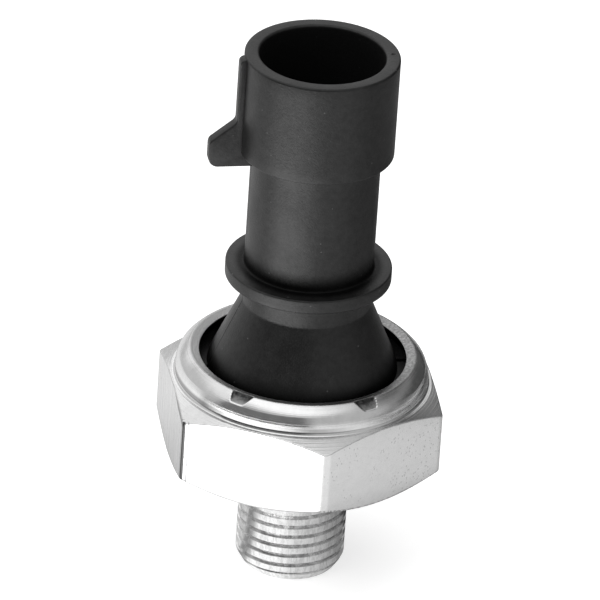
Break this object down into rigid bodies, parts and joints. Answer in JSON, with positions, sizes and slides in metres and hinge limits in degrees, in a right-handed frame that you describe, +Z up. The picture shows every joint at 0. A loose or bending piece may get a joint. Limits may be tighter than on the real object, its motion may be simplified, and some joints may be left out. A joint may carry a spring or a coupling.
{
  "type": "oil pressure sender",
  "caption": "Oil pressure sender with a threaded steel stud, a hexagon body with a rolled lip, and a black round one-pole connector; a diaphragm lifts a spring-loaded contact inside.",
  "frame": {"origin": "centre of the stud's end face, on the axis", "axes": "+Z up the axis, from the stud to the connector's mouth; the connector's latch points along -X, over one of the hexagon's flats"},
  "size_m": [0.024, 0.0278, 0.0521],
  "materials": {
    "zinc_plated_steel": "bright zinc plate over turned steel",
    "black_plastic": "satin moulded, glass filled",
    "rubber": "matte",
    "polyimide_film": "glossy amber film",
    "plain_steel": "pressed",
    "silver_alloy": "bright contact pads",
    "pin_plastic": "matte",
    "brass": "pressed",
    "spring_wire": "drawn",
    "tinned_brass": "tinned",
    "sealing_compound": "cast, with a meniscus",
    "porous_plug": "sintered"
  },
  "bodies": {
    "body": {"hex_body": "zinc_plated_steel", "connector_housing": "black_plastic", "diaphragm_gasket": "rubber", "diaphragm": "polyimide_film", "clamp_ring": "plain_steel", "fixed_contact_ring": "plain_steel", "fixed_contact_1": "silver_alloy", "fixed_contact_2": "silver_alloy", "fixed_contact_3": "silver_alloy", "return_spring": "spring_wire", "spring_cup": "brass", "terminal_rivet": "brass", "blade_terminal": "tinned_brass", "terminal_seal": "sealing_compound", "breather": "porous_plug", "housing_o_ring": "rubber"},
    "moving_contact": {"pressure_plate": "plain_steel", "plunger": "pin_plastic", "contact_disc": "brass", "moving_contact_1": "silver_alloy", "moving_contact_2": "silver_alloy", "moving_contact_3": "silver_alloy"}
  },
  "joints": [
    {"name": "plunger_slide", "type": "slide", "parent": "body", "child": "moving_contact", "axis": [0, 0, 1], "range_m": [0, 0.0004], "stiffness_N_per_m": 2000, "deforming": ["return_spring", "diaphragm"]}
  ]
}
